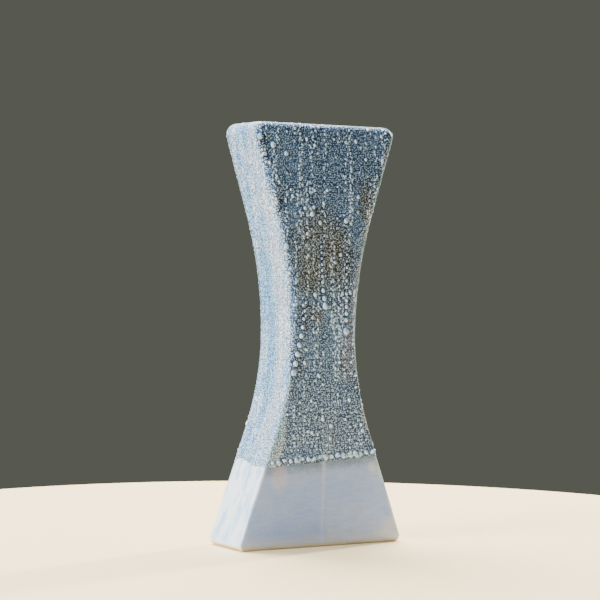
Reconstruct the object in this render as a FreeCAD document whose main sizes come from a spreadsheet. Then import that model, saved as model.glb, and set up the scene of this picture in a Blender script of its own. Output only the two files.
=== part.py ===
"""Waisted stoneware vase: a clay body joined from two half walls, a floor and a roof slab with a
slot mouth, coils and strips pressed over the joints inside, and the glaze layers fired on it.

Frame: origin at the centre of the foot on the table, +Z up, the front face towards -Y. Millimetres.
"""
import FreeCAD, Part
import math
import os

import Sketcher

doc = FreeCAD.newDocument("waisted_vase")

# ---------------------------------------------------------------------------------------------
# Driving dimensions
# ---------------------------------------------------------------------------------------------
DIMENSIONS = [
    ("height", 300.0, "finished height over the glaze"),
    ("depth", 46.5, "finished depth, front glaze to back glaze"),
    ("waist_half", 28.2, "half width at the waist, over the glaze"),
    ("waist_height", 149.0, "height of the waist"),
    ("lower_sweep", 205.0, "radius of the waist curve below the waist"),
    ("upper_sweep", 293.0, "radius of the waist curve above the waist"),
    ("lower_lean", 19.5, "lean of the straight skirt, in degrees from upright"),
    ("upper_lean", 17.0, "lean of the straight shoulder, in degrees from upright"),
    ("foot_corner", 4.0, "radius of the two bottom corners of the outline"),
    ("head_corner", 7.5, "radius of the two top corners of the outline"),
    ("edge_low", 1.6, "rounding of the long edges at the foot"),
    ("edge_high", 6.0, "rounding of the long edges from the waist up"),
    ("coat", 0.9, "thickness of the beaded glaze"),
    ("band", 0.3, "thickness of the smooth glaze round the skirt"),
    ("liner", 0.4, "thickness of the glaze inside"),
    ("wall", 5.0, "thickness of the clay walls"),
    ("floor", 7.0, "thickness of the floor slab"),
    ("roof", 8.0, "thickness of the roof slab"),
    ("coil", 6.0, "size of the coils pressed into the inside corners"),
    ("inner_corner", 6.0, "corner radius of the hollow's outline"),
    ("inner_edge", 4.0, "rounding of the hollow's long edges"),
    ("seam_shift", 1.0, "how far right of the middle the two half walls meet"),
    ("strip_width", 10.0, "width of the strips over the middle joints"),
    ("strip_rise", 1.5, "how far the strips stand into the hollow"),
    ("recess", 1.5, "depth of the recess under the floor"),
    ("foot_ring", 9.0, "width of the ring that the vase stands on"),
    ("recess_corner", 6.0, "corner radius of the recess"),
    ("foot_bevel", 1.2, "bevel along the foot's front and back edges"),
    ("dry_foot", 2.5, "height of the strip left bare of glaze at the foot"),
    ("glaze_line", 60.6, "height of the beaded glaze's lower edge at the middle"),
    ("line_tilt", 3.2, "tilt of that edge, in degrees, rising to the right"),
    ("panel_edge", 6.0, "distance from the faces to where the side glaze begins"),
    ("slot_length", 74.0, "length of the mouth in the clay"),
    ("slot_width", 20.0, "width of the mouth in the clay"),
    ("lip", 3.0, "rounding of the mouth's upper edge in the clay"),
    ("bead_rise", 0.62, "height of a glaze bead as a share of its radius"),
]

sheet = doc.addObject("Spreadsheet::Sheet", "dims")
for row, (alias, value, meaning) in enumerate(DIMENSIONS, start=1):
    sheet.set(f"A{row}", meaning)
    sheet.set(f"B{row}", str(value))
    sheet.setAlias(f"B{row}", alias)
doc.recompute()

REACH = 200.0  # half size of the boxes that cut pieces apart, larger than the vase
JOINED = 1e-4  # two edge ends nearer than this are the same


def terms(total):
    """The signed names in a sum such as "height - coat - roof"."""
    sign = 1
    for word in total.split():
        if word in "+-":
            sign = 1 if word == "+" else -1
        else:
            yield sign, word
            sign = 1


def size(total):
    """The value of a sum of sheet names."""
    return sum(sign * (0.0 if word == "zero" else sheet.get(word)) for sign, word in terms(total))


def formula(total):
    """The same sum as an expression that a property can be bound to."""
    found = " ".join(f"{'+' if sign > 0 else '-'} dims.{word}" for sign, word in terms(total) if word != "zero")
    return found.lstrip("+ ") or "0"


def bind(thing, path, expression):
    thing.setExpression(path, expression)


# ---------------------------------------------------------------------------------------------
# Solids that the pieces are cut from
# ---------------------------------------------------------------------------------------------
def arc(centre, radius, start, end):
    return Part.ArcOfCircle(Part.Circle(centre, FreeCAD.Vector(0, 0, 1), radius), start, end)


class Outline:
    """The front outline, set in by a distance all round: straight skirt, two waist arcs, straight
    shoulder, with the corners rounded. It holds the numbers that the sketch starts from."""

    def __init__(self, inset, low, high, low_corner, high_corner):
        self.inset, self.low, self.high = inset, low, high
        self.low_corner, self.high_corner = low_corner, high_corner
        self.waist = size("waist_half") - size(inset)
        self.level = size("waist_height")
        self.lower = size("lower_sweep") + size(inset)
        self.upper = size("upper_sweep") + size(inset)
        self.lean_low = math.radians(size("lower_lean"))
        self.lean_high = math.radians(size("upper_lean"))

    def centre(self, sweep):
        return FreeCAD.Vector(self.waist + sweep, self.level, 0)

    def on_arc(self, sweep, angle):
        return self.centre(sweep) + FreeCAD.Vector(math.cos(angle), math.sin(angle), 0) * sweep

    def right_side(self):
        """The right half: where the flat foot and head end, and the curves between, foot first."""
        skirt_top = self.on_arc(self.lower, math.pi + self.lean_low)
        shoulder_foot = self.on_arc(self.upper, math.pi - self.lean_high)
        corners = []
        for start, lean, level, radius, up in (
            (skirt_top, self.lean_low, size(self.low), size(self.low_corner), -1),
            (shoulder_foot, self.lean_high, size(self.high), size(self.high_corner), 1),
        ):
            sharp_x = start.x + abs(level - start.y) * math.tan(lean)
            run = radius / math.tan((math.pi / 2 - lean) / 2)
            flat = FreeCAD.Vector(sharp_x - run, level, 0)
            centre = FreeCAD.Vector(flat.x, level - up * radius, 0)
            normal = FreeCAD.Vector(math.cos(lean), -up * math.sin(lean), 0)
            corners.append((flat, centre, centre + normal * radius))
        (foot, foot_centre, skirt_foot), (head, head_centre, shoulder_top) = corners
        return foot, head, [
            arc(foot_centre, size(self.low_corner), -math.pi / 2, self.lean_low),
            Part.LineSegment(skirt_foot, skirt_top),
            arc(self.centre(self.lower), self.lower, math.pi, math.pi + self.lean_low),
            arc(self.centre(self.upper), self.upper, math.pi - self.lean_high, math.pi),
            Part.LineSegment(shoulder_foot, shoulder_top),
            arc(head_centre, size(self.high_corner), -self.lean_high, math.pi / 2),
        ]


def mirrored(curve):
    """A sketch curve turned over to the left side."""
    if isinstance(curve, Part.LineSegment):
        ends = [FreeCAD.Vector(-point.x, point.y, 0) for point in (curve.StartPoint, curve.EndPoint)]
        return Part.LineSegment(*ends)
    return arc(FreeCAD.Vector(-curve.Center.x, curve.Center.y, 0), curve.Radius,
               math.pi - curve.LastParameter, math.pi - curve.FirstParameter)


START, END, CENTRE = 1, 2, 3  # the points of a sketch curve


def outline_sketch(name, outline):
    """The outline as a fully constrained sketch on the XZ plane."""
    sketch = doc.addObject("Sketcher::SketchObject", name)
    sketch.Placement = FreeCAD.Placement(FreeCAD.Vector(), FreeCAD.Rotation(FreeCAD.Vector(1, 0, 0), 90))
    foot, head, right = outline.right_side()
    left_foot = FreeCAD.Vector(-foot.x, foot.y, 0)
    left_head = FreeCAD.Vector(-head.x, head.y, 0)
    base = sketch.addGeometry(Part.LineSegment(left_foot, foot))
    right_ids = [sketch.addGeometry(curve) for curve in right]
    top = sketch.addGeometry(Part.LineSegment(head, left_head))
    left_ids = [sketch.addGeometry(mirrored(curve)) for curve in right]

    def constrain(*what):
        return sketch.addConstraint(Sketcher.Constraint(*what))

    def driven(label, expression, *what):
        index = constrain(*what)
        sketch.renameConstraint(index, label)
        bind(sketch, f"Constraints.{label}", expression)

    # Which end of each curve is the lower one: mirrored arcs run the other way round.
    ends = {"right": [(START, END), (START, END), (END, START), (END, START), (START, END), (START, END)],
            "left": [(END, START), (START, END), (START, END), (START, END), (START, END), (END, START)]}
    for side, ids, line_low, line_high in (("right", right_ids, END, START), ("left", left_ids, START, END)):
        low_high = ends[side]
        constrain("Tangent", base, line_low, ids[0], low_high[0][0])
        for i in range(5):
            constrain("Tangent", ids[i], low_high[i][1], ids[i + 1], low_high[i + 1][0])
        constrain("Tangent", ids[5], low_high[5][1], top, line_high)
        sign = 1 if side == "right" else -1
        waist_point = low_high[2][1]
        inset = formula(outline.inset)
        driven(f"{side}_low_corner", formula(outline.low_corner), "Radius", ids[0], size(outline.low_corner))
        driven(f"{side}_high_corner", formula(outline.high_corner), "Radius", ids[5], size(outline.high_corner))
        driven(f"{side}_lower_sweep", f"dims.lower_sweep + {inset}", "Radius", ids[2], outline.lower)
        driven(f"{side}_upper_sweep", f"dims.upper_sweep + {inset}", "Radius", ids[3], outline.upper)
        driven(f"{side}_waist", f"{sign} * (dims.waist_half - ({inset}))",
               "DistanceX", -1, START, ids[2], waist_point, sign * outline.waist)
        driven(f"{side}_level", "dims.waist_height",
               "DistanceY", -1, START, ids[2], waist_point, outline.level)
        constrain("Horizontal", ids[2], CENTRE, ids[2], waist_point)
        driven(f"{side}_skirt", f"(90 + {sign} * dims.lower_lean) * 1 deg",
               "Angle", ids[1], math.pi / 2 + sign * outline.lean_low)
        driven(f"{side}_shoulder", f"(90 - {sign} * dims.upper_lean) * 1 deg",
               "Angle", ids[4], math.pi / 2 - sign * outline.lean_high)
    constrain("Horizontal", base)
    constrain("Horizontal", top)
    if size(outline.low):
        driven("low", formula(outline.low), "DistanceY", -1, START, base, START, size(outline.low))
    else:
        constrain("PointOnObject", base, START, -1)
    driven("high", formula(outline.high), "DistanceY", -1, START, top, START, size(outline.high))
    return sketch


def edge_round(level, trim):
    """The rounding of a long edge at a height: crisp at the foot, growing to the waist."""
    share = min(1.0, max(0.0, level / size("waist_height")))
    return size("edge_low") + (size("edge_high") - size("edge_low")) * share**2 - trim


def block(name, outline, depth_cut, rounding):
    """The outline drawn out to the vase's depth, less depth_cut on both faces, with the edges of
    the two faces rounded. rounding gives an edge's radius at a height, or None for sharp edges."""
    body = doc.addObject("Part::Extrusion", name)
    body.Base = outline_sketch(f"{name}_outline", outline)
    body.DirMode = "Normal"
    body.Solid = True
    body.Symmetric = True
    bind(body, "LengthFwd", f"dims.depth - 2 * ({formula(depth_cut)})")
    doc.recompute()
    if rounding is None:
        return body
    face_y = size("depth") / 2 - size(depth_cut)
    middle = size("height") / 2
    edges = []
    for index, edge in enumerate(body.Shape.Edges, start=1):
        first, last = edge.firstVertex().Point, edge.lastVertex().Point
        if any(abs(abs(point.y) - face_y) > JOINED for point in (first, last)) or first.y * last.y < 0:
            continue
        # The two radii are given in the order of one way round the face, up the right side.
        if first.x * (last.z - middle) < last.x * (first.z - middle):
            first, last = last, first
        edges.append((index, rounding(first.z), rounding(last.z)))
    rounded = doc.addObject("Part::Fillet", f"{name}_rounded")
    rounded.Base = body
    rounded.Edges = edges
    doc.recompute()
    return rounded


def between(name, low, high, tilt="zero"):
    """A box across the whole vase between two heights; tilt turns it about the Y axis."""
    box = doc.addObject("Part::Box", name)
    box.Length = box.Width = 2 * REACH
    bind(box, "Height", f"{formula(high)} - ({formula(low)})")
    turn = FreeCAD.Rotation(FreeCAD.Vector(0, 1, 0), -size(tilt))
    corner = turn.multVec(FreeCAD.Vector(-REACH, -REACH, 0)) + FreeCAD.Vector(0, 0, size(low))
    box.Placement = FreeCAD.Placement(corner, turn)
    if tilt == "zero":
        bind(box, "Placement.Base.z", formula(low))
    return box


def cut_box(name, corner, sizes):
    """A plain box that keeps one side of the vase."""
    box = doc.addObject("Part::Box", name)
    box.Length, box.Width, box.Height = sizes
    box.Placement = FreeCAD.Placement(FreeCAD.Vector(*corner), FreeCAD.Rotation())
    return box


def cut(name, base, tool):
    made = doc.addObject("Part::Cut", name)
    made.Base, made.Tool = base, tool
    return made


def common(name, base, tool):
    made = doc.addObject("Part::Common", name)
    made.Base, made.Tool = base, tool
    return made


def cut_all(name, base, tools):
    """base less each tool in turn; the last step bears the name."""
    for step, tool in enumerate(tools, start=1):
        base = cut(name if step == len(tools) else f"{name}_step{step}", base, tool)
    return base


def stadium(name, length, width, low, high):
    """An upright prism with half-round ends along X, for the mouth."""
    sketch = doc.addObject("Sketcher::SketchObject", f"{name}_outline")
    half, radius = (size(length) - size(width)) / 2, size(width) / 2
    right_end, left_end = FreeCAD.Vector(half, 0, 0), FreeCAD.Vector(-half, 0, 0)
    out = FreeCAD.Vector(0, radius, 0)
    front, right, back, left = [sketch.addGeometry(curve) for curve in (
        Part.LineSegment(left_end - out, right_end - out), arc(right_end, radius, -math.pi / 2, math.pi / 2),
        Part.LineSegment(right_end + out, left_end + out), arc(left_end, radius, math.pi / 2, 3 * math.pi / 2),
    )]
    for one, other in ((front, right), (right, back), (back, left), (left, front)):
        sketch.addConstraint(Sketcher.Constraint("Tangent", one, END, other, START))
    sketch.addConstraint(Sketcher.Constraint("Horizontal", front))
    sketch.addConstraint(Sketcher.Constraint("Symmetric", right, CENTRE, left, CENTRE, -1, START))
    radius_index = sketch.addConstraint(Sketcher.Constraint("Radius", right, radius))
    sketch.renameConstraint(radius_index, "end_radius")
    bind(sketch, "Constraints.end_radius", f"({formula(width)}) / 2")
    run_index = sketch.addConstraint(Sketcher.Constraint("DistanceX", left, CENTRE, right, CENTRE, 2 * half))
    sketch.renameConstraint(run_index, "straight_run")
    bind(sketch, "Constraints.straight_run", f"({formula(length)}) - ({formula(width)})")
    bind(sketch, "Placement.Base.z", formula(low))
    prism = doc.addObject("Part::Extrusion", name)
    prism.Base = sketch
    prism.DirMode = "Normal"
    prism.Solid = True
    bind(prism, "LengthFwd", f"{formula(high)} - ({formula(low)})")
    doc.recompute()
    return prism


def round_lip(name, base, radius):
    """Rounds the edges of the mouth where it breaks through the roof's upper face."""
    doc.recompute()
    top = base.Shape.BoundBox.ZMax
    half_length = size("slot_length") / 2
    edges = []
    for index, edge in enumerate(base.Shape.Edges, start=1):
        points = [v.Point for v in edge.Vertexes]
        in_mouth = all(abs(p.x) < half_length and abs(p.y) < size("slot_width") / 2 + JOINED for p in points)
        if in_mouth and all(abs(p.z - top) < JOINED for p in points):
            edges.append((index, radius, radius))
    rounded = doc.addObject("Part::Fillet", name)
    rounded.Base = base
    rounded.Edges = edges
    doc.recompute()
    return rounded


pieces = []


def piece(thing, label):
    """Names a finished piece; the label is its file's name."""
    thing.Label = label
    pieces.append(thing)
    return thing


# Nested shapes: over the beaded glaze, over the smooth band, over the clay, the hollow, the liner.
coated = block("coated", Outline("zero", "zero", "height", "foot_corner", "head_corner"),
               "zero", lambda z: edge_round(z, 0.0))
banded = block("banded", Outline("coat - band", "zero", "height - coat + band", "foot_corner",
                                 "head_corner - coat + band"),
               "coat - band", lambda z: edge_round(z, size("coat - band")))
clay = block("clay", Outline("coat", "zero", "height - coat", "foot_corner", "head_corner - coat"),
             "coat", lambda z: edge_round(z, size("coat")))
hollow = block("hollow", Outline("coat + wall", "floor", "height - coat - roof", "inner_corner", "inner_corner"),
               "coat + wall", lambda z: size("inner_edge"))
lined = block("lined", Outline("coat + wall + liner", "floor + liner", "height - coat - roof - liner",
                               "inner_corner - liner", "inner_corner - liner"),
              "coat + wall + liner", lambda z: size("inner_edge - liner"))
# The hollow with sharp corners, drawn past both slabs, for the pockets that the coils fill.
pocket_stock = block("pocket_stock", Outline("coat + wall", "floor - inner_corner - coil",
                                             "height - coat - roof + inner_corner + coil",
                                             "inner_corner", "inner_corner"), "coat + wall", None)

floor_pocket = common("floor_pocket", pocket_stock, between("floor_zone", "floor", "floor + coil"))
roof_pocket = common("roof_pocket", pocket_stock,
                     between("roof_zone", "height - coat - roof - coil", "height - coat - roof"))
wall_zone = between("wall_zone", "floor", "height - coat - roof")

# ---------------------------------------------------------------------------------------------
# Clay: two half walls that meet at the middle of the front and the back
# ---------------------------------------------------------------------------------------------
wall_ring = cut_all("wall_ring", common("wall_stock", clay, wall_zone), [hollow, floor_pocket, roof_pocket])
left_side = cut_box("left_side", (-REACH, -REACH, -REACH), (REACH, 2 * REACH, 3 * REACH))
right_side = cut_box("right_side", (0, -REACH, -REACH), (REACH, 2 * REACH, 3 * REACH))
bind(left_side, "Length", f"{REACH} + dims.seam_shift")
bind(right_side, "Placement.Base.x", "dims.seam_shift")
piece(common("left_wall", wall_ring, left_side), "left_half_wall")
piece(common("right_wall", wall_ring, right_side), "right_half_wall")

# Floor slab, with a shallow recess inside the ring that it stands on.
floor_stock = common("floor_stock", clay, between("floor_layer", "zero", "floor"))
recess_box = doc.addObject("Part::Box", "recess_box")
doc.recompute()
foot_half = floor_stock.Shape.section(
    Part.makePlane(4 * REACH, 4 * REACH, FreeCAD.Vector(-2 * REACH, -2 * REACH, JOINED))).BoundBox.XMax
recess_box.Length = 2 * (foot_half - size("foot_ring"))
bind(recess_box, "Width", "dims.depth - 2 * dims.coat - 2 * dims.foot_ring")
bind(recess_box, "Height", "2 * dims.recess")
recess_box.Placement.Base.x = -(foot_half - size("foot_ring"))
bind(recess_box, "Placement.Base.y", "-(dims.depth / 2 - dims.coat - dims.foot_ring)")
bind(recess_box, "Placement.Base.z", "-dims.recess")
doc.recompute()
recess_tool = doc.addObject("Part::Fillet", "recess_tool")
recess_tool.Base = recess_box
recess_tool.Edges = [(i, size("recess_corner"), size("recess_corner"))
                     for i, e in enumerate(recess_box.Shape.Edges, start=1)
                     if abs(e.tangentAt(e.FirstParameter).z) > 1 - JOINED]


def bevel_bar(name, face):
    """A square bar along X, turned on its corner line, that takes off the foot's edge on the front
    (face -1) or the back (face 1)."""
    side, bevel = 8 * size("foot_bevel"), size("foot_bevel")
    bar = doc.addObject("Part::Box", name)
    bar.Length, bar.Width, bar.Height = 2 * REACH, side, side
    turn = FreeCAD.Rotation(FreeCAD.Vector(1, 0, 0), 45)
    middle = FreeCAD.Vector(0, face * (size("depth") / 2 - size("coat") - bevel / 2), bevel / 2)
    inner_corner = (REACH, side, side / 2) if face < 0 else (REACH, side / 2, side)
    bar.Placement = FreeCAD.Placement(middle - turn.multVec(FreeCAD.Vector(*inner_corner)), turn)
    return bar


piece(cut_all("floor_slab_cut", floor_stock, [recess_tool, bevel_bar("front_bevel", -1), bevel_bar("back_bevel", 1)]),
      "floor_slab")

# Roof slab with the slot mouth.
clay_slot = stadium("clay_slot", "slot_length", "slot_width", "height - coat - roof - coil", "height + coil")
roof_stock = common("roof_stock", clay, between("roof_layer", "height - coat - roof", "height"))
roof_slab = piece(round_lip("roof_slab_lip", cut("roof_slab_cut", roof_stock, clay_slot), size("lip")), "roof_slab")

# Coils pressed into the inside corners, at the floor and under the roof.
piece(cut("floor_coil_cut", floor_pocket, hollow), "floor_coil")
piece(cut("roof_coil_cut", roof_pocket, hollow), "roof_coil")


# Strips over the middle joints inside: a slice of a round bar against each face wall.
def joint_strip(name, face, extra):
    """A strip on the inside of the front (face -1) or back (face 1) wall, extra thicker for glaze."""
    rise, half = size("strip_rise"), size("strip_width") / 2
    bar_radius = (half**2 + rise**2) / (2 * rise)
    inner_face = size("depth") / 2 - size("coat + wall")
    bar = doc.addObject("Part::Cylinder", f"{name}_bar")
    bar.Radius = bar_radius + extra
    bind(bar, "Height", "dims.height - dims.coat - dims.roof - dims.floor - 2 * dims.coil")
    bar.Placement.Base.y = face * (inner_face + bar_radius - rise)
    bind(bar, "Placement.Base.x", "dims.seam_shift")
    bind(bar, "Placement.Base.z", "dims.floor + dims.coil")
    return bar


strip_bars = {face: joint_strip(f"strip{i}", face, 0.0) for i, face in enumerate((-1, 1), start=1)}
glazed_bars = [joint_strip(f"glazed_strip{i}", face, size("liner")) for i, face in enumerate((-1, 1), start=1)]
piece(common("front_strip_cut", hollow, strip_bars[-1]), "front_joint_strip")
piece(common("back_strip_cut", hollow, strip_bars[1]), "back_joint_strip")

# ---------------------------------------------------------------------------------------------
# Glaze: liner inside, smooth band round the skirt, beaded coat above it
# ---------------------------------------------------------------------------------------------
liner_room = cut_all("liner_room", hollow, list(strip_bars.values()))
water_room = cut_all("water_room", lined, glazed_bars)
piece(cut_all("liner_cut", liner_room, [water_room, clay_slot]), "liner_glaze")

above_line = between("above_line", "glaze_line", "height + height", "line_tilt")
band_shell = cut("band_shell", banded, clay)
band_zone = common("band_zone", band_shell, between("band_layer", "dry_foot", "height - coat - roof"))
piece(cut("band_cut", band_zone, above_line), "skirt_glaze")

coat_shell = common("coat_zone", cut("coat_shell", coated, clay), wall_zone)
coat_above = common("coat_above", coat_shell, above_line)
panel_y = size("depth") / 2 - size("panel_edge")
front_side = cut_box("front_side", (-REACH, -panel_y - REACH, -REACH), (2 * REACH, REACH, 3 * REACH))
back_side = cut_box("back_side", (-REACH, panel_y, -REACH), (2 * REACH, REACH, 3 * REACH))
left_middle = cut_box("left_middle", (-REACH, -panel_y, -REACH), (REACH, 2 * panel_y, 3 * REACH))
right_middle = cut_box("right_middle", (0, -panel_y, -REACH), (REACH, 2 * panel_y, 3 * REACH))
for label, keep in (("front_beaded_glaze", front_side), ("back_beaded_glaze", back_side),
                    ("left_side_glaze", left_middle), ("right_side_glaze", right_middle)):
    piece(common(f"{label}_cut", coat_above, keep), label)

# The roof's coat runs over the lip and down the mouth.
glazed_slot = stadium("glazed_slot", "slot_length - liner - liner", "slot_width - liner - liner",
                      "height - coat - roof - coil", "height + coil")
head_stock = common("head_stock", coated, between("head_layer", "height - coat - roof", "height + coil"))
head_finished = round_lip("head_finished", cut("head_open", head_stock, glazed_slot), size("lip"))
piece(cut("head_coat_cut", head_finished, roof_slab), "roof_glaze")


# Drops of glaze that stand on the coat: a row along its lower edge, and runs down the faces.
def bead(name, face, x, z, radius, long):
    """A drop centred on the front (face -1) or back (face 1), long times as tall as it is wide."""
    drop = doc.addObject("Part::Ellipsoid", name)
    drop.Radius1 = radius * size("bead_rise")
    drop.Radius2 = radius
    drop.Radius3 = radius * long
    turn = FreeCAD.Rotation(FreeCAD.Vector(1, 0, 0), 90)
    drop.Placement = FreeCAD.Placement(FreeCAD.Vector(x, face * size("depth") / 2, z), turn)
    return drop


def group(label, drops):
    """The part of the drops that stands out of the coat, as one piece of separate solids."""
    together = doc.addObject("Part::Compound", f"{label}_drops")
    together.Links = drops
    return piece(cut(f"{label}_cut", together, coated), label)


def outline_half(level):
    """The half width over the glaze at a height on the straight skirt or the lower waist arc."""
    drop = size("waist_height") - level
    lean, sweep = math.radians(size("lower_lean")), size("lower_sweep")
    bend = sweep * math.sin(lean)
    if drop < bend:
        return size("waist_half") + sweep - math.sqrt(sweep**2 - drop**2)
    return size("waist_half") + sweep * (1 - math.cos(lean)) + (drop - bend) * math.tan(lean)


EDGE_BEADS = 18
EDGE_LIFT = 2.9  # how far the row's middle line stands above the coat's edge


def edge_row(label, face):
    """A row of drops just above the coat's lower edge, the largest right of the middle."""
    span = outline_half(size("glaze_line")) - 2 * size("edge_low")
    slope = math.tan(math.radians(size("line_tilt")))
    pitch = 2 * span / EDGE_BEADS
    drops = []
    for i in range(EDGE_BEADS):
        x = -span + pitch * (i + 0.5)
        swell = math.exp(-(((x + 20 * face) / 14) ** 2))
        radius = pitch * (0.33 + 0.05 * math.sin(2.4 * i + face) + 0.11 * swell)
        z = size("glaze_line") + slope * x + EDGE_LIFT + 0.5 * math.sin(4.1 * i)
        drops.append(bead(f"{label}{i}", face, x, z, radius, 0.95))
    return group(label, drops)


# Runs of drops: start x and z, end x and z, how many, and the first and the last drop's radius.
FRONT_RUNS = [
    (-3.5, 213, -2, 188, 7, 0.9, 1.4),
    (-1.5, 182, 0.5, 171, 3, 1.8, 2.7),
    (18, 217, 18, 161, 13, 0.9, 1.8),
    (18, 153, 18, 153, 1, 2.7, 2.7),
    (-14, 185, -18, 156, 6, 1.0, 1.6),
    (-19, 150, -25, 124, 5, 2.0, 2.4),
    (-54, 289, -33, 278, 3, 2.6, 2.0),
]
BACK_RUNS = [
    (-18, 236, -15, 168, 13, 0.9, 1.7),
    (-14, 160, -14, 160, 1, 2.6, 2.6),
    (6, 262, 3, 194, 12, 0.9, 1.8),
    (3, 187, 3, 187, 1, 2.5, 2.5),
    (21, 198, 17, 132, 10, 1.2, 2.5),
    (40, 282, 47, 270, 2, 2.6, 2.0),
]
# Drops that stand alone: x, z and radius.
FRONT_DROPS = [
    (-11, 236, 2.2), (17, 232, 2.2), (-32, 213, 2.4), (-10, 241, 1.6), (-17, 240, 1.6), (27, 249, 1.7),
    (33, 276, 1.3), (8, 202, 1.4), (6, 164, 1.4), (-15, 222, 1.5), (-8, 179, 1.7), (-13, 276, 1.4),
]
BACK_DROPS = [
    (-38, 270, 2.2), (-27, 252, 1.7), (20, 240, 2.3), (-4, 228, 1.6), (32, 255, 1.8), (-20, 150, 1.7),
    (11, 172, 1.5), (-6, 139, 2.0), (8, 118, 1.6), (-22, 100, 1.8),
]


def run_group(label, face, runs, singles):
    spots = list(singles)
    for x0, z0, x1, z1, count, first, last in runs:
        for i in range(count):
            share = i / max(1, count - 1)
            spots.append((x0 + (x1 - x0) * share, z0 + (z1 - z0) * share, first + (last - first) * share**2))
    return group(label, [bead(f"{label}{i}", face, x, z, radius, 1.15) for i, (x, z, radius) in enumerate(spots)])


edge_row("front_edge_beads", -1)
edge_row("back_edge_beads", 1)
run_group("front_run_beads", -1, FRONT_RUNS, FRONT_DROPS)
run_group("back_run_beads", 1, BACK_RUNS, BACK_DROPS)

# ---------------------------------------------------------------------------------------------
# Checks and files
# ---------------------------------------------------------------------------------------------
doc.recompute()
for thing in doc.Objects:
    if any(word in thing.State for word in ("Invalid", "Error")):
        raise RuntimeError(f"{thing.Label} failed: {thing.State}")
    if thing.TypeId == "Sketcher::SketchObject" and thing.solve():
        raise RuntimeError(f"the sketch {thing.Label} has no solution")

os.makedirs("parts", exist_ok=True)
for made in pieces:
    shape = made.Shape
    if shape.isNull() or not shape.isValid() or not shape.Solids:
        raise RuntimeError(f"{made.Label} is not a valid solid")
    shape.exportStep(os.path.join("parts", f"{made.Label}.step"))
    box = shape.BoundBox
    print(f"{made.Label}: {len(shape.Solids)} solid(s), {shape.Volume / 1000:.2f} cm3, "
          f"{box.XLength:.1f} x {box.YLength:.1f} x {box.ZLength:.1f} mm")
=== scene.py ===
import math

import bmesh
import bpy
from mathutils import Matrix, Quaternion, Vector, noise


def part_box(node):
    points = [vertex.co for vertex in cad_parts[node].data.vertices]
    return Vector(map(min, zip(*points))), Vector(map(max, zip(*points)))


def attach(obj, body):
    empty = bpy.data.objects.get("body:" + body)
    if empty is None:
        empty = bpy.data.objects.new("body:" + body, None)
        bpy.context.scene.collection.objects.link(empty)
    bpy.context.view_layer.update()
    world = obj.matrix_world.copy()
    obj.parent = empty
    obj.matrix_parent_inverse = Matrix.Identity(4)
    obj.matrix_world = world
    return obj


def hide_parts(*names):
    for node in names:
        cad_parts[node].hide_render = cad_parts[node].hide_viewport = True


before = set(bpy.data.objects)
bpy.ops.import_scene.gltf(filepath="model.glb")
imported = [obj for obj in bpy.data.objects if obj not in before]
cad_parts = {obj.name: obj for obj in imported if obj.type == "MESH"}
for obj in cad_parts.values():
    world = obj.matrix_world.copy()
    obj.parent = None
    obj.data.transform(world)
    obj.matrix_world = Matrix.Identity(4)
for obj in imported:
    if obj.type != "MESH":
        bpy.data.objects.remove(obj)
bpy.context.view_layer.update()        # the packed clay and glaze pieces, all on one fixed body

# ---------------------------------------------------------------------------------------------
# Clay: two press-moulded half walls, floor and roof slabs, coils and joint strips.
# Buff stoneware with iron specks and fine grog. The pieces are luted with slip and fired as one;
# bare clay shows only as a narrow strip at the foot and under it.
# ---------------------------------------------------------------------------------------------
mm = 0.001


def feed(tree, node, inputs):
    """Gives each input of a node its value, or the socket that feeds it."""
    for name, value in inputs.items():
        if isinstance(value, bpy.types.NodeSocket):
            tree.links.new(value, node.inputs[name])
        else:
            node.inputs[name].default_value = value


def add_node(tree, kind, inputs=None, **settings):
    """A new node with its settings and inputs."""
    node = tree.nodes.new(kind)
    for name, value in settings.items():
        setattr(node, name, value)
    feed(tree, node, inputs or {})
    return node


def maths(tree, operation, *values):
    """The result of a Math node."""
    return add_node(tree, "ShaderNodeMath", dict(enumerate(values)), operation=operation).outputs[0]


def times(tree, first, second):
    """The product of two values."""
    return maths(tree, "MULTIPLY", first, second)


def vectors(tree, operation, first, second=None, output=0):
    """The result of a Vector Math node. For a scaled vector the scale comes second."""
    inputs = {0: first}
    if second is not None:
        inputs["Scale" if operation == "SCALE" else 1] = second
    return add_node(tree, "ShaderNodeVectorMath", inputs, operation=operation).outputs[output]


def ramp(tree, value, low, high, start=0.0, end=1.0, **settings):
    """A slope: start up to low, end from high on."""
    inputs = {"Value": value, "From Min": low, "From Max": high, "To Min": start, "To Max": end}
    return add_node(tree, "ShaderNodeMapRange", inputs, **settings).outputs[0]


def mottle(tree, place, scale, detail, roughness=0.5, distortion=0.0):
    """The value of a Noise texture: how unevenly clay and glaze lie."""
    return add_node(tree, "ShaderNodeTexNoise", {"Vector": place, "Scale": scale, "Detail": detail,
                                                 "Roughness": roughness, "Distortion": distortion}).outputs[0]


def axis_of(tree, place, axis):
    """One axis of a place or of a colour."""
    return add_node(tree, "ShaderNodeSeparateXYZ", {0: place}).outputs[axis]


def new_group(name, kind, inputs, outputs):
    """A node group, its input sockets and its output node. An input that is a number is given as
    its first value, and any other by its kind."""
    tree = bpy.data.node_groups.new(name, kind)
    for label, start in inputs.items():
        socket_kind = start if isinstance(start, str) else "Int" if isinstance(start, int) else "Float"
        socket = tree.interface.new_socket(name=label, in_out="INPUT", socket_type=f"NodeSocket{socket_kind}")
        if start != socket_kind:
            socket.default_value = start
    for label, socket_kind in outputs.items():
        tree.interface.new_socket(name=label, in_out="OUTPUT", socket_type=f"NodeSocket{socket_kind}")
    return tree, tree.nodes.new("NodeGroupInput").outputs, tree.nodes.new("NodeGroupOutput")


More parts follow.
